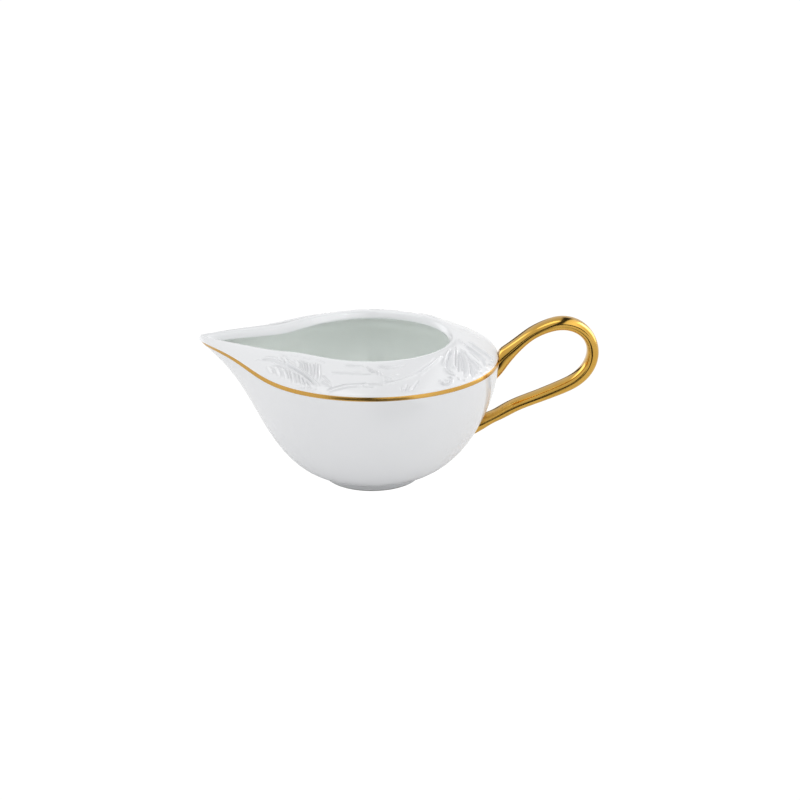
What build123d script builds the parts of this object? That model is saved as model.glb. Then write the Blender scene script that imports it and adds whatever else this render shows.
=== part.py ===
"""Porcelain cream jug: a slip-cast bowl drawn out into a pouring spout, a foot ring, a painted gold
line under the shoulder, and a gilded loop handle stuck on with two beads of slip.

Frame: +Z up, +X towards the handle, the spout towards -X, origin at the centre of the foot ring's
standing edge, on the table. Millimetres.

The bowl is not round, so its surface is a formula. Every ring round the jug is a circle with a
spout added: the spout is full at its own tip and fades out with the angle away from it.
"""

from build123d import *

import os
from math import copysign, cos, exp, pi, radians, sin, sqrt

# ---------------------------------------------------------------- driving dimensions
WALL = 3.0

FOOT_RADIUS = 20.3
FOOT_TOP_RADIUS = 20.6
FOOT_HEIGHT = 3.6
FOOT_WIDTH = 3.0
FOOT_EDGE = 0.8

# The shoulder's edge, the widest ring: a circle, a reach added at the spout, and its height.
EDGE_RADIUS = 52.3
EDGE_REACH = 18.2
EDGE_SPREAD = 0.274
EDGE_POWER = 1.26
EDGE_HEIGHT = 53.2
EDGE_RISE = 5.9
EDGE_RISE_SPREAD = 0.52
EDGE_RISE_POWER = 2.4
EDGE_SAG = 0.75

# The rim, the top ring round the mouth.
RIM_RADIUS = 32.2
RIM_REACH = 37.7
RIM_SPREAD = 0.258
RIM_POWER = 0.966
RIM_HEIGHT = 61.0
RIM_DIP = 1.3
RIM_DIP_PLACE = 0.3
RIM_DIP_SPREAD = 0.25
RIM_BACK = 1.85

# The throat, the ring where the rounded lip ends and the inside falls away.
LIP_WIDTH = 3.0
LIP_DEPTH = 3.0
THROAT_REACH = 35.2
THROAT_SPREAD = 0.235

# Fullness of the bowl, and how the spout's keel runs out down its front.
BELLY_LOW = 1.81
BELLY_HIGH = 1.73
KEEL_STRAIGHT = 0.1
KEEL_POWER = 4.0
KEEL_SPREADING = 0.4
TIP_ROUND = 0.03

# The inside, one wall within the outside.
FLOOR_RADIUS = 16.0
CAVITY_REACH = 16.0
CAVITY_SPREAD = 0.26
CAVITY_DROP = 2.0

SHOULDER_BULGE = 0.5
LIP_BULGE = 0.7
ROOF_BULGE = 0.3

LINE_WIDTH = 1.45
LINE_DROP = 0.1
LINE_THICKNESS = 0.15
LINE_CLEARANCE = 0.03
LINE_GAP_DEPTH = 6.0

# The handle: the two pads of slip, tilted to the wall they sit on, then the loop between them.
PAD_THICKNESS = 1.2
PAD_BURIED = 2.0
PAD_MARGIN = 0.3
TOP_PAD = (52.9, 48.6)
TOP_PAD_TILT = -7
TOP_PAD_SIZE = (9.4, 12.6)
LOW_PAD = (44.2, 21.9)
LOW_PAD_TILT = -27
LOW_PAD_SIZE = (8.8, 9.4)
# Middle of the loop in X and Z, the way the section faces in degrees, and its thickness there.
LOOP = [
    (54.8, 51.5, 3, 9.0),
    (57.3, 54.5, 9, 6.2),
    (60.6, 57.9, 26, 4.7),
    (64.9, 61.3, 33, 4.5),
    (71.0, 64.5, 21, 4.8),
    (77.2, 66.0, 2, 5.2),
    (83.4, 64.8, -24, 5.1),
    (88.2, 60.8, -54, 4.8),
    (90.4, 54.8, -85, 4.9),
    (89.2, 48.0, -115, 5.1),
    (84.4, 42.0, -142, 5.1),
    (76.6, 37.7, -156, 4.9),
    (67.1, 33.7, -158, 4.5),
    (59.5, 30.5, -162, 4.6),
    (53.5, 27.6, -174, 5.3),
    (48.9, 25.3, -192, 5.9),
]
LOOP_WIDTH = 8.6

OVAL_SQUARENESS = 0.9
OVAL_POINTS = 16
# How finely the curves are drawn: points and rings, and how much closer together they start.
RING_POINTS = 72
TIP_SPACING = 0.2
BOWL_RINGS = 15
BOTTOM_SPACING = 2.6


# ---------------------------------------------------------------- the jug's surface as a formula
def spout(turn, spread, power):
    """Share of the spout left at this angle from its tip: 1 at the tip, 0 round the bowl."""
    away = sqrt(turn * turn + TIP_ROUND * TIP_ROUND) - TIP_ROUND
    return exp(-((away / spread) ** power))


def back(turn, power):
    """1 at the handle, falling to 0 at the sides."""
    return max(-cos(turn), 0) ** power


def edge_height(turn):
    rise = EDGE_RISE * exp(-((abs(turn) / EDGE_RISE_SPREAD) ** EDGE_RISE_POWER))
    return EDGE_HEIGHT + rise - EDGE_SAG * back(turn, 3)


def rim_height(turn):
    """The rim dips a little on each side, where the spout leaves the round mouth."""
    return RIM_HEIGHT - RIM_DIP * exp(-(((abs(turn) - RIM_DIP_PLACE) / RIM_DIP_SPREAD) ** 2))


def fullness(level):
    """Share of the bowl's full swell reached at this level, 0 at the foot and 1 at the edge."""
    return (1 - (1 - level) ** BELLY_HIGH) ** (1 / BELLY_LOW)


def wall_ring(turn, level, foot, edge, reach, spread, bottom, top):
    """A point on a bowl: its radius and height at this angle from the spout and this level."""
    keel = KEEL_STRAIGHT * level + (1 - KEEL_STRAIGHT) * level**KEEL_POWER
    spread = spread * (1 + KEEL_SPREADING * (1 - level))
    swell = foot + (edge - foot) * fullness(level)
    radius = swell + reach * keel * spout(turn, spread, EDGE_POWER)
    return radius, bottom + level * (top - bottom)


def outside(turn, level):
    top = edge_height(turn)
    return wall_ring(turn, level, FOOT_TOP_RADIUS, EDGE_RADIUS, EDGE_REACH, EDGE_SPREAD, FOOT_HEIGHT, top)


def inside(turn, level):
    edge = EDGE_RADIUS - WALL
    floor = FOOT_HEIGHT + WALL
    top = edge_height(turn) - CAVITY_DROP
    return wall_ring(turn, level, FLOOR_RADIUS, edge, CAVITY_REACH, CAVITY_SPREAD, floor, top)


def rim(turn):
    radius = RIM_RADIUS + RIM_REACH * spout(turn, RIM_SPREAD, RIM_POWER) + RIM_BACK * back(turn, 2)
    return radius, rim_height(turn)


def throat(turn):
    reach = THROAT_REACH * spout(turn, THROAT_SPREAD, RIM_POWER)
    radius = RIM_RADIUS - LIP_WIDTH + reach + RIM_BACK * back(turn, 2)
    return radius, rim_height(turn) - LIP_DEPTH


def between(first, second, share, bulge):
    """A ring part way from one ring to another, bulged up in the middle."""

    def place(turn):
        radius_1, height_1 = first(turn)
        radius_2, height_2 = second(turn)
        radius = radius_1 + share * (radius_2 - radius_1)
        height = height_1 + share * (height_2 - height_1)
        return radius, height + 4 * share * (1 - share) * bulge

    return place


def ring(place, grow=0.0):
    """A closed curve round the jug, with its points closest together at the spout's tip."""
    points = []
    for index in range(RING_POINTS):
        step = 2 * index / RING_POINTS - 1
        turn = pi * step * (TIP_SPACING + (1 - TIP_SPACING) * step * step)
        radius, height = place(turn)
        radius += grow
        points.append((-radius * cos(turn), -radius * sin(turn), height))
    with BuildLine() as line:
        Spline(*points, periodic=True)
    return line.wire()


def skin(rings, ruled=False):
    """The faces of the surface through these rings."""
    return Shell.make_loft(rings, ruled=ruled).faces()


def bowl_rings(wall):
    """Rings up a bowl's wall, closer together near its flat bottom."""
    levels = [(index / (BOWL_RINGS - 1)) ** BOTTOM_SPACING for index in range(BOWL_RINGS)]
    return [ring(lambda turn, level=level: wall(turn, level)) for level in levels]


bowl = bowl_rings(outside)
cavity = bowl_rings(inside)
rim_ring = ring(rim)
throat_ring = ring(throat)


def edge(turn):
    return outside(turn, 1)


def cavity_edge(turn):
    return inside(turn, 1)


shoulder = [bowl[-1], ring(between(edge, rim, 0.5, SHOULDER_BULGE)), rim_ring]
lip = [rim_ring, ring(between(rim, throat, 0.45, LIP_BULGE)), throat_ring]
roof = [throat_ring, ring(between(throat, cavity_edge, 0.5, ROOF_BULGE)), cavity[-1]]
outer_skin = skin(bowl) + skin(shoulder) + skin(lip)

# ---------------------------------------------------------------- body
with BuildPart() as body:
    underside = Face(bowl[0])
    floor_face = Face(cavity[0])
    add(Solid(Shell([underside, floor_face] + outer_skin + skin(roof) + skin(cavity))))
body.part.label = "body"

# The body with its mouth stopped up, to trim what is stuck on outside.
with BuildPart() as envelope:
    stopper = skin([throat_ring, Vertex(0, 0, RIM_HEIGHT - LIP_DEPTH)], ruled=True)
    add(Solid(Shell([Face(bowl[0])] + outer_skin + stopper)))


# ---------------------------------------------------------------- foot ring
with BuildPart() as foot_ring:
    with BuildSketch(Plane.XZ):
        with BuildLine():
            Polyline(
                (FOOT_RADIUS - FOOT_WIDTH, 0),
                (FOOT_RADIUS, 0),
                (FOOT_TOP_RADIUS, FOOT_HEIGHT),
                (FOOT_RADIUS - FOOT_WIDTH, FOOT_HEIGHT),
                close=True,
            )
        make_face()
    revolve(axis=Axis.Z)
    fillet(foot_ring.edges().group_by(Axis.Z)[0], FOOT_EDGE)
foot_ring.part.label = "foot_ring"


# ---------------------------------------------------------------- handle and its slip joints
def oval(width, height):
    """A closed soft-cornered oval, squarer than an ellipse."""
    points = []
    for index in range(OVAL_POINTS):
        angle = 2 * pi * (index + 0.5) / OVAL_POINTS
        across = copysign(abs(cos(angle)) ** OVAL_SQUARENESS, cos(angle))
        along = copysign(abs(sin(angle)) ** OVAL_SQUARENESS, sin(angle))
        points.append((across * width / 2, along * height / 2))
    with BuildLine() as line:
        Spline(*points, periodic=True)
    return line.edge()


def pad_plane(place, tilt):
    """The face of a pad that meets the handle, looking out along +X and turned by its tilt."""
    return Plane(origin=(place[0], 0, place[1]), x_dir=(0, 1, 0), z_dir=Vector(1, 0, 0).rotate(Axis.Y, -tilt))


def pad(plane, size, thickness):
    """A bead of slip: an oval from inside the wall out to the handle's end, trimmed by the jug."""
    with BuildPart() as bead:
        with BuildSketch(plane):
            make_face(oval(size[0] + 2 * PAD_MARGIN, size[1] + 2 * PAD_MARGIN))
        extrude(amount=-thickness)
        add(envelope.part, mode=Mode.SUBTRACT)
    return bead.part.solids().sort_by(SortBy.VOLUME)[-1]


top_plane = pad_plane(TOP_PAD, TOP_PAD_TILT)
low_plane = pad_plane(LOW_PAD, LOW_PAD_TILT)

with BuildPart() as upper_slip_joint:
    add(pad(top_plane, TOP_PAD_SIZE, PAD_THICKNESS))
upper_slip_joint.part.label = "upper_slip_joint"

with BuildPart() as lower_slip_joint:
    add(pad(low_plane, LOW_PAD_SIZE, PAD_THICKNESS + PAD_BURIED))
lower_slip_joint.part.label = "lower_slip_joint"

with BuildPart() as handle:
    with BuildSketch(top_plane):
        make_face(oval(*TOP_PAD_SIZE))
    for x, z, heading, thickness in LOOP:
        ahead = (cos(radians(heading)), 0, sin(radians(heading)))
        with BuildSketch(Plane(origin=(x, 0, z), x_dir=(0, 1, 0), z_dir=ahead)):
            make_face(oval(LOOP_WIDTH, thickness))
    with BuildSketch(-low_plane):
        make_face(oval(*LOW_PAD_SIZE))
    loft()
handle.part.label = "handle"

# ---------------------------------------------------------------- gold line
line_levels = [1 - (LINE_DROP + LINE_WIDTH) / EDGE_HEIGHT, 1 - LINE_DROP / EDGE_HEIGHT]
line_outer = [ring(lambda turn, level=level: outside(turn, level), LINE_THICKNESS) for level in line_levels]
line_inner = [ring(lambda turn, level=level: outside(turn, level), LINE_CLEARANCE) for level in line_levels]

with BuildPart() as gold_line:
    sides = skin(line_outer, ruled=True) + skin(line_inner, ruled=True)
    ends = [face for pair in zip(line_outer, line_inner) for face in skin(pair, ruled=True)]
    add(Solid(Shell(sides + ends)))
    with BuildSketch(Plane.YZ.offset(TOP_PAD[0] - LINE_GAP_DEPTH)):
        with Locations((0, EDGE_HEIGHT)):
            Rectangle(TOP_PAD_SIZE[0] + 2 * PAD_MARGIN, LINE_GAP_DEPTH)
    extrude(amount=2 * LINE_GAP_DEPTH, mode=Mode.SUBTRACT)
gold_line.part.label = "gold_line"

# ---------------------------------------------------------------- write the pieces
os.makedirs("parts", exist_ok=True)
for piece in (body, foot_ring, gold_line, handle, upper_slip_joint, lower_slip_joint):
    export_step(piece.part, f"parts/{piece.part.label}.step")
    print(piece.part.label, round(piece.part.volume), piece.part.is_valid, len(piece.part.solids()))
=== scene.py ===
from math import cos, pi, radians, sin

import bpy
import numpy as np
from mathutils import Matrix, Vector


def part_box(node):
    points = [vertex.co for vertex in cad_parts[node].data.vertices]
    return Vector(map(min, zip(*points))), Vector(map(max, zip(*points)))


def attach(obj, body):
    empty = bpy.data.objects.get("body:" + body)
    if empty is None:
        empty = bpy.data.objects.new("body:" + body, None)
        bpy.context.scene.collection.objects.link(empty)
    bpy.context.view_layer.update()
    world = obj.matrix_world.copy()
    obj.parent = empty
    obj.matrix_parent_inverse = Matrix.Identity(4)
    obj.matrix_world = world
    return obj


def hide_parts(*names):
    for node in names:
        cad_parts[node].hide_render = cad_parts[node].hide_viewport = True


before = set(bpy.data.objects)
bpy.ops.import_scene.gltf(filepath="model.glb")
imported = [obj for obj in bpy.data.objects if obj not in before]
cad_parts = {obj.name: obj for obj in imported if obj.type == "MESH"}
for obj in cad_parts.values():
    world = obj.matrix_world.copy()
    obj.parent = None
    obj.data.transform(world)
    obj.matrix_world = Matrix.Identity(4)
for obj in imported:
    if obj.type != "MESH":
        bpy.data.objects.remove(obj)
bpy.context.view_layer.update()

# Lengths are millimetres, and MM turns them into the frame's metres. Only the floor's and the lamps'
# lengths and places, at the end, are metres.
MM = 0.001

# ---------------------------------------------------------------- sizes read from the frame
foot_low, foot_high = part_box("foot_ring")
FOOT_HEIGHT = foot_high.z / MM
FOOT_TOP_RADIUS = foot_high.y / MM

# ---------------------------------------------------------------- the jug's surface as a formula
WALL = 3.0
FOOT_TAPER = 0.3
FOOT_RADIUS = FOOT_TOP_RADIUS - FOOT_TAPER
FOOT_WIDTH = 3.0

EDGE_RADIUS = 52.3
EDGE_REACH = 18.2
EDGE_SPREAD = 0.274
EDGE_POWER = 1.26
EDGE_HEIGHT = 53.2
EDGE_RISE = 5.9
EDGE_RISE_SPREAD = 0.52
EDGE_RISE_POWER = 2.4
EDGE_SAG = 0.75

RIM_RADIUS = 32.2
RIM_REACH = 37.7
RIM_SPREAD = 0.258
RIM_POWER = 0.966
RIM_HEIGHT = 61.0
RIM_DIP = 1.3
RIM_DIP_PLACE = 0.3
RIM_DIP_SPREAD = 0.25
RIM_BACK = 1.85

LIP_WIDTH = 3.0
LIP_DEPTH = 3.0
THROAT_REACH = 35.2
THROAT_SPREAD = 0.235

BELLY_LOW = 1.81
BELLY_HIGH = 1.73
KEEL_STRAIGHT = 0.1
KEEL_POWER = 4.0
KEEL_SPREADING = 0.4
TIP_ROUND = 0.03

FLOOR_RADIUS = 16.0
CAVITY_REACH = 16.0
CAVITY_SPREAD = 0.26
CAVITY_DROP = 2.0

SHOULDER_BULGE = 0.5
LIP_BULGE = 0.7
ROOF_BULGE = 0.3


def spout(turn, spread, power):
    """Share of the spout left at this angle from its tip."""
    away = np.sqrt(turn * turn + TIP_ROUND * TIP_ROUND) - TIP_ROUND
    return np.exp(-((away / spread) ** power))


def back(turn, power):
    return np.maximum(-np.cos(turn), 0) ** power


def edge_height(turn):
    rise = EDGE_RISE * np.exp(-((np.abs(turn) / EDGE_RISE_SPREAD) ** EDGE_RISE_POWER))
    return EDGE_HEIGHT + rise - EDGE_SAG * back(turn, 3)


def rim_height(turn):
    return RIM_HEIGHT - RIM_DIP * np.exp(-(((np.abs(turn) - RIM_DIP_PLACE) / RIM_DIP_SPREAD) ** 2))


def wall_point(turn, level, foot, edge, reach, spread, bottom, top):
    keel = KEEL_STRAIGHT * level + (1 - KEEL_STRAIGHT) * level**KEEL_POWER
    spread = spread * (1 + KEEL_SPREADING * (1 - level))
    fullness = (1 - (1 - level) ** BELLY_HIGH) ** (1 / BELLY_LOW)
    radius = foot + (edge - foot) * fullness + reach * keel * spout(turn, spread, EDGE_POWER)
    return radius, bottom + level * (top - bottom)


def outside(turn, level):
    top = edge_height(turn)
    return wall_point(turn, level, FOOT_TOP_RADIUS, EDGE_RADIUS, EDGE_REACH, EDGE_SPREAD, FOOT_HEIGHT, top)


def inside(turn, level):
    top = edge_height(turn) - CAVITY_DROP
    floor = FOOT_HEIGHT + WALL
    return wall_point(turn, level, FLOOR_RADIUS, EDGE_RADIUS - WALL, CAVITY_REACH, CAVITY_SPREAD, floor, top)


def rim(turn):
    radius = RIM_RADIUS + RIM_REACH * spout(turn, RIM_SPREAD, RIM_POWER) + RIM_BACK * back(turn, 2)
    return radius, rim_height(turn)


def throat(turn):
    reach = THROAT_REACH * spout(turn, THROAT_SPREAD, RIM_POWER)
    radius = RIM_RADIUS - LIP_WIDTH + reach + RIM_BACK * back(turn, 2)
    return radius, rim_height(turn) - LIP_DEPTH


def between(first, second, share, bulge):
    radius = first[0] + share * (second[0] - first[0])
    height = first[1] + share * (second[1] - first[1]) + 4 * share * (1 - share) * bulge
    return radius, height


def shoulder(turn, share):
    """The sloping shoulder: share 0 at its edge, over the gold line, and 1 at the rim."""
    return between(outside(turn, 1.0), rim(turn), share, SHOULDER_BULGE)


def lip(turn, share):
    return between(rim(turn), throat(turn), share, LIP_BULGE)


def roof(turn, share):
    return between(throat(turn), inside(turn, 1.0), share, ROOF_BULGE)


def rounded(first, corner, last, share):
    """A point on the curve that rounds a corner off."""
    a, b, c = (1 - share) ** 2, 2 * share * (1 - share), share**2
    return tuple(a * p + b * q + c * r for p, q, r in zip(first, corner, last))


def place(turn, ring):
    """Points in millimetres for a ring's radius and height at these angles."""
    radius, height = ring
    height = np.broadcast_to(height, np.shape(turn))
    return np.stack([-radius * np.cos(turn), -radius * np.sin(turn), height], axis=-1)


# ---------------------------------------------------------------- small mesh helpers
def unit(vectors):
    return vectors / np.linalg.norm(vectors, axis=-1, keepdims=True)


def make_piece(name, points, faces, material, nodes, second=None, second_faces=()):
    """A mesh piece that rides on the jug, from points in millimetres."""
    mesh = bpy.data.meshes.new(name)
    mesh.from_pydata((np.asarray(points) * MM).tolist(), [], faces)
    mesh.materials.append(material)
    if second is not None:
        mesh.materials.append(second)
        for index in second_faces:
            mesh.polygons[index].material_index = 1
    mesh.shade_smooth()
    piece = bpy.data.objects.new(name, mesh)
    bpy.context.scene.collection.objects.link(piece)
    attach(piece, "root")
    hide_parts(*nodes)


def tube_faces(rings, count, closed=True):
    """Quads between rings of the same number of points, which come one ring after another."""
    faces = []
    for ring in range(rings - 1):
        for index in range(count if closed else count - 1):
            after = (index + 1) % count
            a, b = ring * count + index, ring * count + after
            faces.append((a, b, b + count, a + count))
    return faces


def ring_faces(rings, count, closed=True):
    """Quads of a tube whose last ring joins its first one again."""
    total = rings * count
    return [tuple(v % total for v in face) for face in tube_faces(rings + 1, count, closed)]


def spline_through(places, values, at):
    """A natural cubic curve through the values, for values that change smoothly along a path."""
    places, values = np.asarray(places, float), np.asarray(values, float)
    gaps = np.diff(places)
    count = len(places)
    matrix, right = np.eye(count), np.zeros(count)
    for i in range(1, count - 1):
        matrix[i, i - 1 : i + 2] = gaps[i - 1], 2 * (gaps[i - 1] + gaps[i]), gaps[i]
        right[i] = 6 * ((values[i + 1] - values[i]) / gaps[i] - (values[i] - values[i - 1]) / gaps[i - 1])
    bend = np.linalg.solve(matrix, right)
    i = np.clip(np.searchsorted(places, at) - 1, 0, count - 2)
    left, rest, gap = at - places[i], places[i + 1] - at, gaps[i]
    curve = (bend[i] * rest**3 + bend[i + 1] * left**3) / (6 * gap)
    line = (values[i] / gap - bend[i] * gap / 6) * rest + (values[i + 1] / gap - bend[i + 1] * gap / 6) * left
    return curve + line


# ---------------------------------------------------------------- materials
def new_material(name):
    material = bpy.data.materials.new(name)
    material.use_nodes = True
    tree = material.node_tree
    return material, tree, tree.nodes["Principled BSDF"]


def noise(tree, scale, detail=2.0, roughness=0.5):
    coordinates = tree.nodes.new("ShaderNodeTexCoord")
    texture = tree.nodes.new("ShaderNodeTexNoise")
    texture.inputs["Scale"].default_value = scale
    texture.inputs["Detail"].default_value = detail
    texture.inputs["Roughness"].default_value = roughness
    tree.links.new(coordinates.outputs["Object"], texture.inputs["Vector"])
    return texture.outputs["Fac"]


def ramp(tree, factor, stops):
    """A colour ramp: each stop is a place from 0 to 1 and a colour."""
    node = tree.nodes.new("ShaderNodeValToRGB")
    elements = node.color_ramp.elements
    while len(elements) < len(stops):
        elements.new(0.5)
    for element, (position, colour) in zip(elements, stops):
        element.position = position
        element.color = (*colour, 1.0)
    tree.links.new(factor, node.inputs["Fac"])
    return node.outputs["Color"]


def span(tree, factor, low, high):
    """The factor's 0 to 1 stretched over low to high."""
    node = tree.nodes.new("ShaderNodeMapRange")
    node.inputs["To Min"].default_value = low
    node.inputs["To Max"].default_value = high
    tree.links.new(factor, node.inputs["Value"])
    return node.outputs["Result"]


def bump(tree, shader, height, strength, distance):
    node = tree.nodes.new("ShaderNodeBump")
    node.inputs["Strength"].default_value = strength
    node.inputs["Distance"].default_value = distance
    tree.links.new(height, node.inputs["Height"])
    tree.links.new(node.outputs["Normal"], shader.inputs["Normal"])


def glaze(name, light, deep):
    """Transparent glaze over white porcelain: a faint cloudiness in colour, and a very slight ripple."""
    material, tree, shader = new_material(name)
    colour = ramp(tree, noise(tree, scale=28.0), [(0.3, light), (0.75, deep)])
    tree.links.new(colour, shader.inputs["Base Color"])
    gloss = span(tree, noise(tree, scale=90.0), low=0.05, high=0.11)
    tree.links.new(gloss, shader.inputs["Roughness"])
    shader.inputs["IOR"].default_value = 1.5
    bump(tree, shader, noise(tree, scale=60.0, detail=1.0), strength=0.05, distance=0.0004)
    return material


def gold(name, pale, deep, low, high):
    """Burnished gold over the glaze: it is laid by hand, so its polish and colour vary a little."""
    material, tree, shader = new_material(name)
    colour = ramp(tree, noise(tree, scale=110.0, detail=3.0), [(0.3, pale), (0.75, deep)])
    tree.links.new(colour, shader.inputs["Base Color"])
    shader.inputs["Metallic"].default_value = 1.0
    gloss = span(tree, noise(tree, scale=240.0, detail=3.0), low, high)
    tree.links.new(gloss, shader.inputs["Roughness"])
    bump(tree, shader, noise(tree, scale=900.0), strength=0.12, distance=0.00005)
    return material


def shaded_biscuit(name):
    """Unglazed porcelain, ground flat: fine pale grey grain. The grey is darker than bare porcelain: it is
    painted shade for the standing edge down on the floor.
    """
    material, tree, shader = new_material(name)
    grain = noise(tree, scale=1200.0, detail=4.0, roughness=0.7)
    # The grey stands for shade as well as bare porcelain: painted shade.
    colour = ramp(tree, grain, [(0.3, (0.50, 0.51, 0.49)), (0.7, (0.40, 0.41, 0.39))])
    tree.links.new(colour, shader.inputs["Base Color"])
    shader.inputs["Roughness"].default_value = 0.75
    bump(tree, shader, noise(tree, scale=1600.0, detail=3.0), strength=0.3, distance=0.0001)
    return material


white_glaze = glaze("white_glaze", (0.86, 0.868, 0.885), (0.845, 0.855, 0.87))
inside_glaze = glaze("inside_glaze", (0.905, 0.935, 0.915), (0.895, 0.925, 0.905))
foot_biscuit_and_shade = shaded_biscuit("foot_biscuit_and_shade")
line_gold = gold("line_gold", (0.66, 0.39, 0.10), (0.60, 0.34, 0.08), 0.18, 0.26)
handle_gold = gold("handle_gold", (0.70, 0.42, 0.09), (0.64, 0.37, 0.07), 0.08, 0.14)

# ---------------------------------------------------------------- body: the rings of its one closed skin
FINE = 1080
COARSE = FINE // 2
SHOULDER_ROWS = 56
fine_turn = np.linspace(-pi, pi, FINE, endpoint=False)
coarse_turn = fine_turn[::2]

BAND_WIDTH = 1.6
BAND_LEAN = 0.5
BAND_LEAN_POWER = 1.3
BAND_BLEND = 0.15
# The corner over the band is rounded off between these distances below the edge.
ROUND_FROM = 0.12
ROUND_CORNER = -0.08
EDGE_SHOULDER = 0.045
RIM_ROUNDING = 0.94
LIP_ROUNDING = 0.35
THROAT_LIP = 0.85
THROAT_ROOF = 0.06


def wall_rows(turn, wall, levels):
    return [wall(turn, level) for level in levels]


def band(turn, below):
    """The band that carries the gold line, a distance below the edge: it leans in towards its top."""
    height = edge_height(turn)
    radius, level_height = outside(turn, 1 - max(below, 0) / (height - FOOT_HEIGHT))
    share = np.clip(1 - below / (BAND_WIDTH + BAND_BLEND), 0, None)
    return radius - BAND_LEAN * share**BAND_LEAN_POWER, level_height - min(below, 0)


# The bowl's rows stop just below the band. They and the inside's rows lie closer together low down.
BAND_MARGIN = 1.12
BOWL_ROWS = 16
CAVITY_ROWS = 14
BOWL_TOP = 1 - BAND_MARGIN * BAND_WIDTH / (EDGE_HEIGHT - FOOT_HEIGHT)
bowl_levels = [(i / BOWL_ROWS) ** 2 * BOWL_TOP for i in range(BOWL_ROWS + 1)]
cavity_levels = [(i / CAVITY_ROWS) ** 2 for i in range(CAVITY_ROWS + 1)]

outer_rows = wall_rows(coarse_turn, outside, bowl_levels)
band_top, corner = band(fine_turn, ROUND_FROM), band(fine_turn, ROUND_CORNER)
high_edge = shoulder(fine_turn, EDGE_SHOULDER)
edge_rows = [band(fine_turn, BAND_WIDTH * share) for share in (1.0, 0.85, 0.7, 0.5, 0.3)]
edge_rows += [rounded(band_top, corner, high_edge, share) for share in (0.0, 0.2, 0.4, 0.6, 0.8)]
shares = np.linspace(EDGE_SHOULDER, RIM_ROUNDING, SHOULDER_ROWS)
shoulder_grid = np.stack([place(fine_turn, shoulder(fine_turn, share)) for share in shares])


def smooth_normals(grid):
    """Outward normals of a closed grid of points, rows going up and columns going round."""
    along = np.roll(grid, -1, axis=1) - np.roll(grid, 1, axis=1)
    up = np.gradient(grid, axis=0)
    return unit(np.cross(along, up))


normals = smooth_normals(shoulder_grid)
if normals[0, 0, 2] < 0:
    normals = -normals


# ---------------------------------------------------------------- relief pressed out of the shoulder
# A stroke is a line of places on the shoulder. Each place is the angle from the spout in degrees and
# the share of the way from the edge to the rim. Widths and heights are millimetres.
# Most places in the stroke tables below were measured by a program and then rounded.
# That isn't how they should be made: curves chosen by hand, with loops between them, would be better.
turn_degrees = np.degrees(fine_turn)
ridges = np.zeros(shoulder_grid.shape[:2])
grooves = np.zeros(shoulder_grid.shape[:2])
REGION_DEGREES = 4.0
REGION_SHARE = 0.14
LINE_STEPS = 8
RIDGE_POWER = 1.6
RIDGE_HEIGHT = 1.3
GROOVE_DEPTH = 0.9
FAR_SIDE_STRENGTH = 0.45
# The share of its length over which a stroke fades in, and out again.
STROKE_FADE = 0.15
BARB_FADE = 0.2
BEAD_FADE = 0.3
BUMP_FADE = 0.45


def smooth_line(places):
    """A smooth line through the places."""
    p = np.array(places, float)
    p = np.concatenate([2 * p[:1] - p[1:2], p, 2 * p[-1:] - p[-2:-1]])
    t = np.linspace(0, 1, LINE_STEPS, endpoint=False)[:, None]
    runs = []
    for a, b, c, d in zip(p[:-3], p[1:-2], p[2:-1], p[3:]):
        slope = (c - a) * t
        bend = (2 * a - 5 * b + 4 * c - d) * t**2
        twist = (3 * b - a - 3 * c + d) * t**3
        runs.append(b + 0.5 * (slope + bend + twist))
    return np.concatenate(runs + [p[-2:-1]])


def ease(value):
    value = np.clip(value, 0, 1)
    return value * value * (3 - 2 * value)


def press(places, half_width, rise, fade, end_width=None):
    """Raises a rounded ridge along a line, or sinks a groove where rise is negative.

    It widens to end_width, and fades in and out over a share of its length."""
    line = smooth_line(places)
    low, high = line.min(axis=0), line.max(axis=0)
    columns = (turn_degrees > low[0] - REGION_DEGREES) & (turn_degrees < high[0] + REGION_DEGREES)
    rows = (shares > low[1] - REGION_SHARE) & (shares < high[1] + REGION_SHARE)
    patch = np.ix_(np.where(rows)[0], np.where(columns)[0])
    turns = np.radians(line[:, 0])
    spots = place(turns, shoulder(turns, line[:, 1]))
    spans = np.diff(spots, axis=0)
    offsets = shoulder_grid[patch][:, :, None, :] - spots[:-1]
    share = np.clip((offsets * spans).sum(-1) / (spans**2).sum(-1), 0, 1)
    offsets = offsets - share[..., None] * spans
    distance = np.linalg.norm(offsets, axis=-1)
    nearest = distance.argmin(axis=-1)
    pick = nearest[..., None]
    distance = np.take_along_axis(distance, pick, -1)[..., 0]
    along = (nearest + np.take_along_axis(share, pick, -1)[..., 0]) / len(spans)
    width = half_width + ((end_width or half_width) - half_width) * along
    fading = ease(along / fade) * ease((1 - along) / fade)
    shape = (1 - np.clip(distance / width, 0, 1) ** 2) ** RIDGE_POWER * fading * rise
    if rise > 0:
        ridges[patch] = np.maximum(ridges[patch], shape)
    else:
        grooves[patch] = np.minimum(grooves[patch], shape)


def line_at(places, share):
    """The place at a share of the way along a smooth line."""
    line = smooth_line(places)
    at = share * (len(line) - 1)
    index = np.arange(len(line))
    return np.interp(at, index, line[:, 0]), np.interp(at, index, line[:, 1])


def on_side(places, side):
    """The places on the near side, side 1, or mirrored to the far side, side -1."""
    return [(side * turn, share) for turn, share in places]


def between_lines(first, second):
    """A line half way between two lines."""
    pairs = [(line_at(first, share), line_at(second, share)) for share in (0.0, 0.35, 0.7, 1.0)]
    return [((a + c) / 2, (b + d) / 2) for (a, b), (c, d) in pairs]


def strength(side):
    """The far side's relief is the softer one."""
    return 1.0 if side > 0 else FAR_SIDE_STRENGTH


def strokes(table, side=1):
    """Presses every stroke of a table: its places, its half width, its height and its width at the end."""
    for places, half_width, rise, *end_width in table:
        press(on_side(places, side), half_width, rise * strength(side), STROKE_FADE, *end_width)


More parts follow.
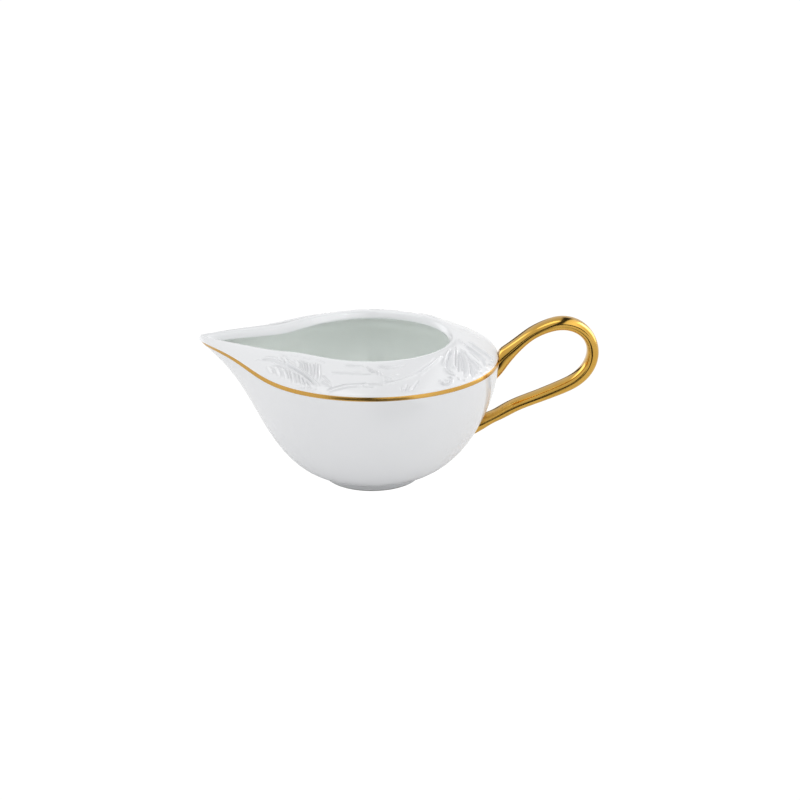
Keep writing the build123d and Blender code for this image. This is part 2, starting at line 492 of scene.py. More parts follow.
# The plume by the spout: two ribs with a crease between them, and barbs that hook back from them.
PLUME = [
    (
        [(33, 0.37), (37, 0.42), (41, 0.45), (45, 0.44), (49, 0.41), (54, 0.35), (59, 0.27), (64, 0.16)],
        0.75,
        0.75,
    ),
    (
        [(34, 0.71), (39, 0.61), (43, 0.55), (48, 0.51), (53, 0.45), (58, 0.38), (63, 0.27), (67, 0.16)],
        0.75,
        0.8,
    ),
    (
        [(31, 0.45), (35, 0.48), (39, 0.50), (43, 0.49), (47, 0.47), (51, 0.43), (55, 0.39), (59, 0.32)]
        + [(67, 0.15)],
        0.6,
        -0.65,
    ),
    ([(32, 0.68), (35, 0.62), (39, 0.55)], 0.5, 0.5),
    ([(30, 0.78), (35, 0.75), (38, 0.69)], 0.5, -0.45),
    ([(26, 0.50), (28, 0.62), (33, 0.65)], 0.5, -0.4),
    ([(25, 0.28), (27, 0.40), (31, 0.47), (35, 0.49)], 0.5, -0.4),
    ([(26, 0.35), (29, 0.52), (33, 0.56), (37, 0.53)], 0.5, 0.4),
    ([(34, 0.85), (40, 0.89)], 0.5, -0.35),
    ([(43, 0.85), (49, 0.88)], 0.5, -0.4),
    ([(51, 0.89), (56, 0.88), (61, 0.82)], 0.5, -0.35),
    ([(64, 0.50), (67, 0.42), (71, 0.30)], 0.6, -0.6),
    ([(65, 0.36), (68, 0.29), (70, 0.25), (73, 0.22)], 0.7, 0.7),
    ([(60, 0.13), (62, 0.08), (66, 0.10)], 0.6, 0.4),
    ([(56, 0.09), (60, 0.08)], 0.5, 0.4),
]
LOWER_BARBS = [
    [(32, 0.29), (35, 0.23), (38, 0.16)],
    [(35, 0.35), (39, 0.29), (43, 0.17)],
    [(38, 0.40), (42, 0.35), (45, 0.27), (48, 0.17)],
    [(42, 0.42), (46, 0.33), (50, 0.19)],
    [(45, 0.42), (49, 0.28), (53, 0.11)],
    [(49, 0.40), (52, 0.29), (55, 0.15)],
    [(52, 0.38), (54, 0.28), (57, 0.17)],
    [(55, 0.33), (57, 0.25), (60, 0.14)],
    [(58, 0.27), (61, 0.18), (63, 0.10)],
]
UPPER_BARBS = [
    [(38, 0.71), (42, 0.68), (45, 0.60), (48, 0.53)],
    [(41, 0.77), (45, 0.74), (48, 0.67), (51, 0.57), (52, 0.50)],
    [(44, 0.78), (48, 0.73), (52, 0.58), (54, 0.46)],
    [(48, 0.77), (52, 0.65), (56, 0.46)],
    [(51, 0.77), (55, 0.62), (59, 0.40)],
    [(53, 0.79), (57, 0.64), (61, 0.35)],
    [(55, 0.81), (59, 0.63), (64, 0.31)],
    [(58, 0.78), (62, 0.57), (65, 0.30)],
]
BARB_CREASES = (-0.22, -0.32)
BARB_CREASE_WIDTH = 0.42
BARB_RIDGE = 0.4
BARB_RIDGE_WIDTH = 0.5


def plume(side):
    """The ribs, a crease along each barb, every other one deeper, and a ridge between each two."""
    strokes(PLUME, side)
    for barbs in (LOWER_BARBS, UPPER_BARBS):
        for index, barb in enumerate(barbs):
            rise = BARB_CREASES[index % 2] * strength(side)
            press(on_side(barb, side), BARB_CREASE_WIDTH, rise, BARB_FADE)
        for first, second in zip(barbs[:-1], barbs[1:]):
            ridge = on_side(between_lines(first, second), side)
            press(ridge, BARB_RIDGE_WIDTH, BARB_RIDGE * strength(side), BARB_FADE)


# Long low folds that run on round the jug from the plume, most with a crease beside them.
FOLDS = [
    ([(66, 0.57), (76, 0.60), (86, 0.61), (93, 0.62)], 0.4, -0.5),
    ([(66, 0.62), (76, 0.66), (85, 0.68)], 0.7, 0.3),
    ([(87, 0.84), (90, 0.76), (93, 0.69), (95, 0.66)], 0.6, 0.65),
    ([(89, 0.74), (91, 0.69), (93, 0.65)], 0.45, -0.45),
    ([(95.2, 0.61), (96.8, 0.61)], 1.0, 0.8),
    ([(93.4, 0.62), (94.4, 0.61)], 0.6, -0.5),
    ([(73, 0.81), (78, 0.82), (84, 0.81)], 0.4, -0.4),
    ([(73, 0.86), (82, 0.87), (87, 0.84)], 0.6, 0.4),
    ([(94, 0.82), (98, 0.79), (102, 0.75), (108, 0.78), (115, 0.85)], 0.4, -0.5),
    ([(94, 0.88), (98, 0.85), (104, 0.82), (109, 0.83)], 0.6, 0.4),
    ([(97, 0.54), (99, 0.50), (102, 0.53), (106, 0.58)], 0.6, 0.4),
    ([(97, 0.46), (99, 0.42), (102, 0.46)], 0.6, 0.4),
    ([(70, 0.11), (72, 0.18), (75, 0.25), (78, 0.31), (85, 0.35), (93, 0.39)], 0.42, -0.6),
    ([(71, 0.07), (75, 0.18), (80, 0.26), (86, 0.30)], 0.9, 0.4),
    ([(88, 0.36), (93, 0.35), (97, 0.33)], 0.7, 0.45),
    ([(93, 0.37), (97, 0.37), (103, 0.43), (107, 0.46), (111, 0.51), (116, 0.58), (122, 0.67)], 0.4, -0.45),
    ([(98, 0.32), (104, 0.38), (110, 0.45), (116, 0.53)], 0.8, 0.3),
    ([(86, 0.32), (88, 0.27), (93, 0.26)], 0.4, -0.45),
    ([(108.5, 0.29), (107.0, 0.21), (105.5, 0.12)], 0.4, -0.5),
    ([(104.5, 0.22), (104.4, 0.11)], 0.4, -0.45),
    ([(106.6, 0.27), (105.1, 0.14)], 0.4, 0.5),
    ([(109.6, 0.24), (107.4, 0.12)], 0.4, 0.5),
    ([(115, 0.36), (112, 0.25), (109, 0.13)], 0.55, -0.6),
    ([(110, 0.48), (116, 0.57), (123, 0.67), (130, 0.76), (136, 0.85)], 0.6, -0.5),
    ([(116, 0.47), (121, 0.58), (126, 0.66), (131, 0.73), (137, 0.80), (142, 0.87)], 0.9, 0.6),
]

# The open fan by the handle: ridges from a point at the rim with creases between them, and a curl.
FAN = [
    ([(174, 0.91), (171, 0.86), (168, 0.80)], 0.7, 0.6),
    ([(152, 0.91), (147, 0.85), (143, 0.79), (138, 0.68), (133.5, 0.55)], 0.5, 0.85, 0.85),
    ([(133.5, 0.52), (132.5, 0.43), (133, 0.34), (135.5, 0.26)], 0.6, 0.65),
    ([(156, 0.91), (148, 0.80), (141, 0.68), (136, 0.54), (134.5, 0.41), (135.5, 0.31)], 0.55, -0.85, 0.75),
    ([(159, 0.89), (151, 0.78), (144.5, 0.65), (139.5, 0.50), (138, 0.40)], 0.9, 0.7, 1.4),
    ([(160, 0.88), (152.5, 0.76), (147, 0.63), (142, 0.50), (139, 0.40)], 0.5, 1.0, 0.6),
    ([(153, 0.74), (147, 0.57), (141, 0.41), (138.5, 0.32)], 0.45, -0.65),
    ([(154, 0.71), (149, 0.55), (144, 0.40), (140.5, 0.27)], 0.45, 0.55),
    ([(157, 0.79), (152.5, 0.64), (148.5, 0.50), (144, 0.36), (139, 0.17)], 0.5, -0.85, 0.65),
    ([(161, 0.77), (156, 0.64), (152.5, 0.52), (149, 0.41), (145, 0.28), (141, 0.16)], 0.5, 0.8, 0.9),
    ([(148, 0.32), (145, 0.20), (143, 0.10)], 0.45, -0.5),
    ([(151, 0.38), (148.5, 0.28), (146.5, 0.18), (145, 0.09)], 0.5, 0.65, 0.7),
    ([(152, 0.40), (150, 0.29), (148.5, 0.19), (147.5, 0.11)], 0.45, -0.55),
    ([(158.5, 0.68), (154.5, 0.49), (152.5, 0.29), (150.5, 0.13)], 0.5, 0.8, 1.0),
    ([(162, 0.74), (158.5, 0.61), (156.5, 0.48), (155.5, 0.33), (154, 0.15)], 0.5, -0.8, 0.65),
    ([(162.5, 0.60), (160, 0.42), (158, 0.27)], 0.5, 0.3),
    ([(167, 0.78), (166, 0.62), (164.5, 0.46), (163, 0.32), (160, 0.21), (156.5, 0.12)], 0.5, 0.8, 0.85),
    ([(171.5, 0.85), (169, 0.69), (167, 0.53), (165.5, 0.38), (164, 0.22)], 0.55, -0.8),
    ([(176, 0.72), (172, 0.53), (170, 0.36), (168.5, 0.22), (167, 0.12)], 0.5, 0.75, 0.85),
    ([(176.5, 0.62), (174.5, 0.45), (173.5, 0.27), (172.5, 0.12)], 0.5, -0.55),
    ([(130.5, 0.31), (131.5, 0.23), (130, 0.15), (126.5, 0.11), (124.5, 0.18), (125.5, 0.27)], 0.5, 0.8),
    ([(127.2, 0.21), (128.8, 0.21)], 0.6, 0.5),
]
FAN_BEADS = [(135, 0.17), (137, 0.09), (139.5, 0.17), (142.5, 0.06), (150, 0.07), (155, 0.06)]
FAN_BEADS += [(161, 0.10), (165, 0.10)]
BEAD_REACH = 0.7
BEAD_WIDTH = 0.75
BEAD_RISE = 0.5


def fan():
    strokes(FAN)
    for turn, share in FAN_BEADS:
        press([(turn - BEAD_REACH, share), (turn + BEAD_REACH, share)], BEAD_WIDTH, BEAD_RISE, BEAD_FADE)


for side in (1, -1):
    plume(side)
    strokes(FOLDS, side)
fan()
# Low bumps on the far side, in place of the fan.
FAR_BUMPS = [(-150, 0.35), (-158, 0.55), (-166, 0.4)]
BUMP_REACH = 3
BUMP_TILT = 0.05
BUMP_WIDTH = 1.6
BUMP_RISE = 0.22
for turn, share in FAR_BUMPS:
    bump_line = [(turn - BUMP_REACH, share), (turn + BUMP_REACH, share + BUMP_TILT)]
    press(bump_line, BUMP_WIDTH, BUMP_RISE, BUMP_FADE)

# The ground between the strokes wavers a little, and the relief runs out before the shoulder's borders.
WAVER = 0.05
LOW_BORDER = 0.05
HIGH_BORDER = 0.06
waver = WAVER * np.sin(np.radians(turn_degrees) * 9 + 1.3)[None, :] * np.sin(7 * shares + 0.6)[:, None]
border = ease((shares - EDGE_SHOULDER) / LOW_BORDER) * ease((RIM_ROUNDING - shares) / HIGH_BORDER)
height = (RIDGE_HEIGHT * ridges + GROOVE_DEPTH * grooves + waver) * border[:, None]
relief_grid = shoulder_grid + normals * height[..., None]

rim_start, rim_end = shoulder(coarse_turn, RIM_ROUNDING), lip(coarse_turn, LIP_ROUNDING)
rim_rows = [rounded(rim_start, rim(coarse_turn), rim_end, share) for share in np.linspace(0.15, 1, 6)]
lip_rows = [lip(coarse_turn, share) for share in (0.5, 0.67)]
throat_start, throat_end = lip(coarse_turn, THROAT_LIP), roof(coarse_turn, THROAT_ROOF)
throat_corner = throat(coarse_turn)
throat_rows = [rounded(throat_start, throat_corner, throat_end, share) for share in np.linspace(0, 1, 4)]
roof_rows = [roof(coarse_turn, share) for share in (0.4, 0.8)]
cavity_rows = wall_rows(coarse_turn, inside, cavity_levels)[::-1]

lower = [place(coarse_turn, row) for row in outer_rows]
upper = [place(coarse_turn, row) for row in rim_rows + lip_rows + throat_rows + roof_rows + cavity_rows]
middle = [place(fine_turn, row) for row in edge_rows] + list(relief_grid)

points = np.concatenate(lower + middle + upper)
start_middle = len(lower) * COARSE
start_upper = start_middle + len(middle) * FINE
faces = tube_faces(len(lower), COARSE)


def stitch(coarse_start, fine_start, upward):
    """Joins a ring of COARSE points to a ring of FINE points, three triangles for each coarse step."""
    made = []
    for i in range(COARSE):
        a, b, c = (fine_start + (2 * i + step) % FINE for step in (0, 1, 2))
        d, e = coarse_start + i, coarse_start + (i + 1) % COARSE
        triangles = [(a, b, d), (b, e, d), (b, c, e)]
        made += [t if upward else t[::-1] for t in triangles]
    return made


faces += stitch(start_middle - COARSE, start_middle, False)
faces += [tuple(start_middle + v for v in face) for face in tube_faces(len(middle), FINE)]
faces += stitch(start_upper, start_upper - FINE, True)
# The inside's own glaze starts two rows below the lip.
INNER_MARGIN = 2
inner_from = len(faces) + COARSE * (len(rim_rows) + len(lip_rows) + INNER_MARGIN)
faces += [tuple(start_upper + v for v in face) for face in tube_faces(len(upper), COARSE)]

# The flat underside and the flat floor inside, each closed with rings towards its middle.
CAP_RINGS = (0.75, 0.45, 0.15)
UNDERSIDE_DOME = 0.5


def cap(points, faces, ring_start, radius, height, dome, upward):
    """Closes the ring with smaller rings and one last point in the middle."""
    total = len(points)
    previous = ring_start
    extra = []
    for share in CAP_RINGS:
        level = height + dome * (1 - share * share)
        extra.append(place(coarse_turn, (radius * share, level)))
        start = total + (len(extra) - 1) * COARSE
        for i in range(COARSE):
            j = (i + 1) % COARSE
            quad = (previous + i, previous + j, start + j, start + i)
            faces.append(quad if upward else quad[::-1])
        previous = start
    centre = total + len(extra) * COARSE
    extra.append(np.array([[0.0, 0.0, height + dome]]))
    for i in range(COARSE):
        triangle = (previous + i, previous + (i + 1) % COARSE, centre)
        faces.append(triangle if upward else triangle[::-1])
    return np.concatenate([points] + extra)


points = cap(points, faces, 0, FOOT_TOP_RADIUS, FOOT_HEIGHT, UNDERSIDE_DOME, False)
floor_start = start_upper + (len(upper) - 1) * COARSE
floor_from = len(faces)
points = cap(points, faces, floor_start, FLOOR_RADIUS, FOOT_HEIGHT + WALL, 0.0, True)

inner_faces = list(range(inner_from, floor_from - COARSE * (len(CAP_RINGS) + 1)))
inner_faces += list(range(floor_from, len(faces)))
make_piece("jug_body", points, faces, white_glaze, ["body"], inside_glaze, inner_faces)

# ---------------------------------------------------------------- foot ring
FOOT_TURNS = 240
FOOT_EDGE = 0.8
FOOT_BURIED = 0.4
FOOT_EASING = 0.1
# How much of the rounded edge is left bare, counted up from the table.
BARE_SHARE = 0.9
foot_turn = np.linspace(-pi, pi, FOOT_TURNS, endpoint=False)
inner_radius = FOOT_RADIUS - FOOT_WIDTH
foot_profile = [(inner_radius, FOOT_HEIGHT + FOOT_BURIED)]
foot_profile.append((FOOT_TOP_RADIUS - FOOT_BURIED, FOOT_HEIGHT + FOOT_BURIED))
foot_profile.append((FOOT_TOP_RADIUS, FOOT_HEIGHT - FOOT_EASING))
foot_profile.append((FOOT_TOP_RADIUS - FOOT_EASING, FOOT_HEIGHT / 2))
for angle in np.radians(np.arange(0, 91, 15)):
    x = FOOT_RADIUS - FOOT_EDGE * (1 - cos(angle))
    foot_profile.append((x, FOOT_EDGE * (1 - sin(angle))))
for angle in np.radians(np.arange(90, -1, -15)):
    x = inner_radius + FOOT_EDGE * (1 - cos(angle))
    foot_profile.append((x, FOOT_EDGE * (1 - sin(angle))))
foot_points = np.concatenate([place(foot_turn, (r, z)) for r, z in foot_profile])
foot_rings = len(foot_profile)
foot_faces = [face[::-1] for face in ring_faces(foot_rings, FOOT_TURNS)]
# The glaze stops at the standing edge, which is left bare so that it doesn't stick in the kiln. The bare
# edge's darker grey is painted shade where the foot meets the floor.
glazed_rings = [ring for ring in range(foot_rings) if foot_profile[ring][1] > FOOT_EDGE * BARE_SHARE]
glazed = [i for i in range(len(foot_faces)) if i // FOOT_TURNS in glazed_rings]
make_piece("jug_foot", foot_points, foot_faces, foot_biscuit_and_shade, ["foot_ring"], white_glaze, glazed)

# ---------------------------------------------------------------- gold line under the shoulder
LINE_PROUD = 0.06
LINE_SUNK = 0.2
LINE_FLATNESS = 6
LINE_TURNS = 1000
# The line stops at either side of the handle.
HANDLE_HALF = 4.9
line_end = pi - HANDLE_HALF / EDGE_RADIUS
line_turn = np.linspace(-line_end, line_end, LINE_TURNS)
line_top, line_corner = band(line_turn, ROUND_FROM), band(line_turn, ROUND_CORNER)
line_edge = shoulder(line_turn, EDGE_SHOULDER)
line_rings = [band(line_turn, BAND_WIDTH * share) for share in (0.97, 0.9, 0.75, 0.6, 0.45, 0.3, 0.17)]
line_rings += [rounded(line_top, line_corner, line_edge, share) for share in (0.0, 0.15, 0.3)]
line_grid = np.stack([place(line_turn, row) for row in line_rings])
line_out = unit(np.cross(np.gradient(line_grid, axis=1), np.gradient(line_grid, axis=0)))
# Outward is towards -X at the spout, half way along the line.
if line_out[len(line_rings) // 2 - 1, LINE_TURNS // 2, 0] > 0:
    line_out = -line_out
across = np.linspace(-1, 1, len(line_rings))
proud = LINE_PROUD * (1 - across**LINE_FLATNESS)[:, None, None]
line_rows = list(line_grid + line_out * proud)
line_rows += [line_grid[-1] - line_out[-1] * LINE_SUNK, line_grid[0] - line_out[0] * LINE_SUNK]
line_starts = [row * LINE_TURNS for row in range(len(line_rows))]
line_faces = ring_faces(len(line_rows), LINE_TURNS, closed=False)
line_faces.append(tuple(line_starts))
line_faces.append(tuple(start + LINE_TURNS - 1 for start in reversed(line_starts)))
make_piece("gold_line_paint", np.concatenate(line_rows), line_faces, line_gold, ["gold_line"])

# ---------------------------------------------------------------- handle
# Middle of the loop in X and Z, the way the section faces in degrees, its width and its thickness.
# The middle and the thickness started from measurements made by a program and were then corrected.
LOOP = [
    (51.2, 47.6, -8, 9.6, 12.9),
    (53.0, 49.6, 0, 9.4, 11.0),
    (55.4, 52.4, 8, 9.0, 8.2),
    (58.0, 55.2, 17, 8.7, 6.2),
    (61.0, 58.1, 27, 8.6, 5.0),
    (64.9, 61.3, 33, 8.6, 4.6),
    (71.0, 64.5, 21, 8.6, 4.8),
    (77.2, 66.0, 2, 8.6, 5.2),
    (83.4, 64.8, -24, 8.6, 5.1),
    (88.2, 60.8, -54, 8.6, 4.8),
    (90.4, 54.8, -85, 8.6, 4.9),
    (89.2, 48.0, -115, 8.6, 5.1),
    (84.4, 42.0, -142, 8.6, 5.1),
    (76.6, 37.7, -156, 8.6, 4.9),
    (67.1, 33.7, -158, 8.6, 4.5),
    (59.5, 30.5, -162, 8.6, 4.6),
    (53.5, 27.2, -172, 8.6, 4.9),
    (48.9, 24.6, -188, 8.7, 5.4),
    (44.2, 21.9, -207, 8.8, 9.2),
    (42.6, 21.1, -207, 9.0, 9.6),
]
SQUARENESS = 0.8
SECTIONS = 180
AROUND = 48


def oval(width, thickness, count):
    """Offsets across and along for a closed soft-cornered oval."""
    angle = 2 * pi * np.arange(count) / count
    across = np.sign(np.cos(angle)) * np.abs(np.cos(angle)) ** SQUARENESS
    along = np.sign(np.sin(angle)) * np.abs(np.sin(angle)) ** SQUARENESS
    return across * width / 2, along * thickness / 2


def sweep(stations, sections, around):
    """Rings of points along the loop, facing the way each station faces."""
    table = np.array(stations, float)
    steps = np.hypot(np.diff(table[:, 0]), np.diff(table[:, 1]))
    places = np.concatenate([[0], np.cumsum(steps)])
    at = np.linspace(0, places[-1], sections)
    x, z, heading, width, thickness = (spline_through(places, table[:, c], at) for c in range(5))
    rings = []
    for i in range(sections):
        across, along = oval(width[i], thickness[i], around)
        tilt = radians(heading[i])
        rings.append(np.stack([x[i] - along * sin(tilt), across, z[i] + along * cos(tilt)], axis=-1))
    return np.concatenate(rings)


loop_faces = tube_faces(SECTIONS, AROUND)
loop_faces.append(tuple(reversed(range(AROUND))))
loop_faces.append(tuple((SECTIONS - 1) * AROUND + i for i in range(AROUND)))
loop_nodes = ["handle", "upper_slip_joint", "lower_slip_joint"]
make_piece("gilt_handle", sweep(LOOP, SECTIONS, AROUND), loop_faces, handle_gold, loop_nodes)

# ---------------------------------------------------------------- floor, light and camera
AIM = (11.58, 0.0, 32.44)
DISTANCE = 781.06
ELEVATION = 20.9
LENS = 85.0
SENSOR_WIDTH = 36.0

# Metres from here on.
NEAREST_SEEN = 0.02
FLOOR_HALF = 4
PAPER_PALE = (0.92, 0.92, 0.92)
PAPER_GREY = (0.90, 0.90, 0.90)
BURNT_OUT = 1.05
floor_corners = [(FLOOR_HALF * x, FLOOR_HALF * y, 0) for x, y in ((-1, -1), (1, -1), (1, 1), (-1, 1))]
floor_mesh = bpy.data.meshes.new("floor")
floor_mesh.from_pydata(floor_corners, [], [(0, 1, 2, 3)])
floor_material, floor_tree, floor_shader = new_material("floor_paper")
floor_colour = ramp(floor_tree, noise(floor_tree, scale=6.0), [(0.3, PAPER_PALE), (0.7, PAPER_GREY)])
floor_path = floor_tree.nodes.new("ShaderNodeLightPath")


def smooth_step(tree, value, low, high):
    node = tree.nodes.new("ShaderNodeMapRange")
    node.interpolation_type = "SMOOTHSTEP"
    node.inputs["From Min"].default_value = low
    node.inputs["From Max"].default_value = high
    tree.links.new(value, node.inputs["Value"])
    return node.outputs["Result"]


def maths(tree, operation, *values):
    node = tree.nodes.new("ShaderNodeMath")
    node.operation = operation
    for value, socket in zip(values, node.inputs):
        if isinstance(value, float):
            socket.default_value = value
        else:
            tree.links.new(value, socket)
    return node.outputs["Value"]


def product(tree, first, second):
    return maths(tree, "MULTIPLY", first, second)


def mix_colour(tree, share, first, second):
    node = tree.nodes.new("ShaderNodeMix")
    node.data_type = "RGBA"
    tree.links.new(share, node.inputs["Factor"])
    for value, name in ((first, "A"), (second, "B")):
        if isinstance(value, tuple):
            node.inputs[name].default_value = (*value, 1.0)
        else:
            tree.links.new(value, node.inputs[name])
    return node.outputs["Result"]


# Only what shines sees it: a dark patch of table in front of the jug, painted shade that stands in for the
# floor in shadow there, where the rest see paper. These
# are the places where it fades in: along Y towards the camera, and along X from the right and the left.
PAPER_END = (-0.075, -0.105)
REFLECTED_SHADE_RIGHT = (0.095, 0.075)
REFLECTED_SHADE_LEFT = (-0.02, 0.03)
REFLECTED_SHADE = (0.02, 0.017, 0.015)
floor_places = floor_tree.nodes.new("ShaderNodeTexCoord")
floor_split = floor_tree.nodes.new("ShaderNodeSeparateXYZ")
floor_tree.links.new(floor_places.outputs["Object"], floor_split.inputs["Vector"])
table = smooth_step(floor_tree, floor_split.outputs["Y"], *PAPER_END)
table = product(floor_tree, table, smooth_step(floor_tree, floor_split.outputs["X"], *REFLECTED_SHADE_RIGHT))
table = product(floor_tree, table, smooth_step(floor_tree, floor_split.outputs["X"], *REFLECTED_SHADE_LEFT))
# Only glossy rays see the painted shade, so it shows only as a dark reflection.
table = product(floor_tree, table, floor_path.outputs["Is Glossy Ray"])
floor_colour = mix_colour(floor_tree, table, floor_colour, REFLECTED_SHADE)
floor_tree.links.new(floor_colour, floor_shader.inputs["Base Color"])
floor_shader.inputs["Roughness"].default_value = 0.9
floor_shader.inputs["Specular IOR Level"].default_value = 0.1
# The paper is burnt out to plain white where the camera sees it, and lights the jug as pale grey.
burnt_out = floor_tree.nodes.new("ShaderNodeEmission")
burnt_out.inputs["Strength"].default_value = BURNT_OUT
floor_mix = floor_tree.nodes.new("ShaderNodeMixShader")
floor_tree.links.new(floor_path.outputs["Is Camera Ray"], floor_mix.inputs["Fac"])
floor_tree.links.new(floor_shader.outputs["BSDF"], floor_mix.inputs[1])
floor_tree.links.new(burnt_out.outputs["Emission"], floor_mix.inputs[2])
floor_tree.links.new(floor_mix.outputs["Shader"], floor_tree.nodes["Material Output"].inputs["Surface"])
floor_mesh.materials.append(floor_material)
floor = bpy.data.objects.new("floor", floor_mesh)
bpy.context.scene.collection.objects.link(floor)

world = bpy.data.worlds.new("studio")
world.use_nodes = True
bpy.context.scene.world = world
background = world.node_tree.nodes["Background"]


def grey_stops(stops):
    return [(stop, (value, value, value)) for stop, value in stops]


def half(tree, value):
    """-1 to 1 turned into 0 to 1."""
    node = tree.nodes.new("ShaderNodeMapRange")
    node.inputs["From Min"].default_value = -1.0
    tree.links.new(value, node.inputs["Value"])
    return node.outputs["Result"]


def studio_light(tree, background):
    """What lights the jug, what mirrors show, and plain white for the camera itself."""
    coordinates = tree.nodes.new("ShaderNodeTexCoord")
    split = tree.nodes.new("ShaderNodeSeparateXYZ")
    tree.links.new(coordinates.outputs["Generated"], split.inputs["Vector"])
    across, back, up = (split.outputs[axis] for axis in "XYZ")
    light = ramp(tree, up, grey_stops(SIDE_LIGHT))
    for stops, limits in ((BACK_LIGHT, BACK_FROM), (CAMERA_LIGHT, CAMERA_FROM)):
        light = mix_colour(tree, smooth_step(tree, back, *limits), light, ramp(tree, up, grey_stops(stops)))
    gap_place = maths(tree, "MULTIPLY_ADD", back, -GAP_SLANT, across)
    mirrored = ramp(tree, half(tree, gap_place), grey_stops(MIRRORED))
    paper = smooth_step(tree, back, *PAPER_BEHIND_FROM)
    paper = product(tree, paper, smooth_step(tree, up, *PAPER_BEHIND_BELOW))
    mirrored = mix_colour(tree, paper, mirrored, PAPER_BEHIND)
    shade = product(tree, smooth_step(tree, back, *SHADE_FROM), smooth_step(tree, up, *SHADE_BELOW))
    shade = product(tree, shade, smooth_step(tree, across, *SHADE_SIDE))
    mirrored = mix_colour(tree, shade, mirrored, DARK_ROOM)
    for limits, white in ((LEFT_SCREEN, LEFT_WHITE), (RIGHT_SCREEN, RIGHT_WHITE)):
        screen = product(tree, smooth_step(tree, back, *SCREENS_FROM), smooth_step(tree, across, *limits))
        mirrored = mix_colour(tree, screen, mirrored, white)
    front = product(tree, smooth_step(tree, back, *CAMERA_SIDE), smooth_step(tree, up, *CAMERA_SIDE_BELOW))
    mirrored = mix_colour(tree, front, mirrored, DARK_ROOM)
    toward = tree.nodes.new("ShaderNodeVectorMath")
    toward.operation = "DOT_PRODUCT"
    toward.inputs[1].default_value = Vector(CEILING_LAMP).normalized()
    tree.links.new(coordinates.outputs["Generated"], toward.inputs[0])
    overhead = smooth_step(tree, toward.outputs["Value"], *CEILING_LAMP_EDGE)
    mirrored = mix_colour(tree, overhead, mirrored, LAMP_WHITE)
    path = tree.nodes.new("ShaderNodeLightPath")
    light = mix_colour(tree, path.outputs["Is Glossy Ray"], light, mirrored)
    seen = mix_colour(tree, path.outputs["Is Camera Ray"], light, (1.0, 1.0, 1.0))
    tree.links.new(seen, background.inputs["Color"])


# Brightness by the sine of the height above the horizon, and where the back and the camera's side
# take over, by how far the direction points backwards.
SIDE_LIGHT = [(0.0, 0.6), (0.08, 1.05), (0.2, 1.35), (0.6, 1.0), (0.72, 0.75), (0.82, 1.08), (1.0, 1.06)]
BACK_LIGHT = [(0.0, 0.5), (0.1, 0.6), (0.3, 0.8), (0.6, 0.8), (0.74, 0.7), (0.84, 1.1), (1.0, 1.06)]
BACK_FROM = (0.55, 0.85)
CAMERA_LIGHT = [(0.0, 1.0), (0.06, 0.45), (0.5, 0.35), (0.6, 1.1), (0.84, 1.15), (1.0, 1.06)]
CAMERA_FROM = (-0.62, -0.84)
# What polished surfaces mirror, from 0 far left to 1 far right: pale paper with a dark gap in it, which
# leans by GAP_SLANT. Over that come paper low down behind the jug, with shade in it to the left of
# straight behind, a white screen on each side, the dark low down on the camera's side, and a lamp
# overhead on the left.
MIRRORED = [(0.0, 1.0), (0.3, 0.78), (0.46, 0.72), (0.495, 0.05), (0.58, 0.03)]
MIRRORED += [(0.61, 1.2), (0.75, 1.6), (0.95, 1.0)]
GAP_SLANT = 0.13
PAPER_BEHIND_FROM = (0.4, 0.6)
PAPER_BEHIND_BELOW = (0.42, 0.32)
PAPER_BEHIND = (0.8, 0.8, 0.8)
SHADE_FROM = (0.84, 0.9)
SHADE_BELOW = (0.2, 0.12)
SHADE_SIDE = (-0.04, -0.12)
SCREENS_FROM = (0.2, 0.45)
LEFT_SCREEN = (-0.55, -0.68)
LEFT_WHITE = (2.6, 2.6, 2.6)
RIGHT_SCREEN = (0.46, 0.58)
RIGHT_WHITE = (3.0, 3.0, 3.0)
CAMERA_SIDE = (-0.78, -0.86)
CAMERA_SIDE_BELOW = (0.3, 0.22)
DARK_ROOM = (0.04, 0.04, 0.04)
CEILING_LAMP = (-0.3, 0.15, 0.94)
CEILING_LAMP_EDGE = (0.955, 0.97)
LAMP_WHITE = (2.2, 2.2, 2.2)
studio_light(world.node_tree, background)


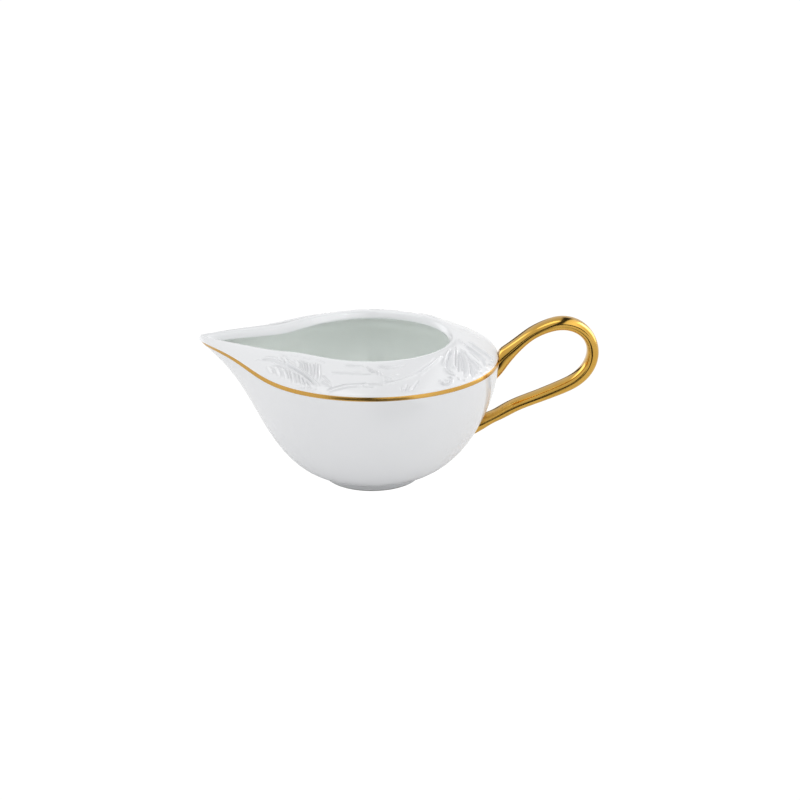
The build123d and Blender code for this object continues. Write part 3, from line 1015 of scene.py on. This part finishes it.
def hang(light, location, aim):
    """Puts a lamp in its place and turns it towards its aim."""
    holder = bpy.data.objects.new(light.name, light)
    holder.location = location
    holder.rotation_euler = (Vector(aim) - Vector(location)).to_track_quat("-Z", "Y").to_euler()
    bpy.context.scene.collection.objects.link(holder)


SOFTBOX = Vector((0.65, 0.60, 0.45)) * 0.9
SOFTBOX_AIM = (0.05, 0.0, 0.04)
SOFTBOX_SIZE = 0.22
SOFTBOX_POWER = 0.6
softbox = bpy.data.lights.new("right_softbox", "AREA")
softbox.shape = "RECTANGLE"
softbox.size = softbox.size_y = SOFTBOX_SIZE
softbox.energy = SOFTBOX_POWER
hang(softbox, SOFTBOX, SOFTBOX_AIM)

# A narrow lamp over the mouth, whose beam is a little narrower than the mouth where it gets there.
MOUTH_LAMP = (0.2, -0.1, 0.58)
MOUTH_LAMP_POWER = 11.0
MOUTH_LAMP_BLEND = 0.4
MOUTH_LAMP_RADIUS = 0.006
BEAM_WIDTH = 1.7 * RIM_RADIUS
mouth = Vector((0.0, 0.0, RIM_HEIGHT * MM))
mouth_lamp = bpy.data.lights.new("mouth_lamp", "SPOT")
mouth_lamp.spot_size = 2 * np.arctan(BEAM_WIDTH * MM / 2 / (mouth - Vector(MOUTH_LAMP)).length)
mouth_lamp.spot_blend = MOUTH_LAMP_BLEND
mouth_lamp.shadow_soft_size = MOUTH_LAMP_RADIUS
mouth_lamp.energy = MOUTH_LAMP_POWER
hang(mouth_lamp, MOUTH_LAMP, mouth)

camera_data = bpy.data.cameras.new("camera")
camera_data.lens = LENS
camera_data.sensor_width = SENSOR_WIDTH
camera_data.clip_start = NEAREST_SEEN
camera = bpy.data.objects.new("camera", camera_data)
aim = Vector(AIM) * MM
away = Vector((0.0, -cos(radians(ELEVATION)), sin(radians(ELEVATION))))
camera.location = aim + away * DISTANCE * MM
camera.rotation_euler = (-away).to_track_quat("-Z", "Y").to_euler()
bpy.context.scene.collection.objects.link(camera)
bpy.context.scene.camera = camera

settings = bpy.context.scene.view_settings
settings.view_transform = "Standard"
settings.look = "None"
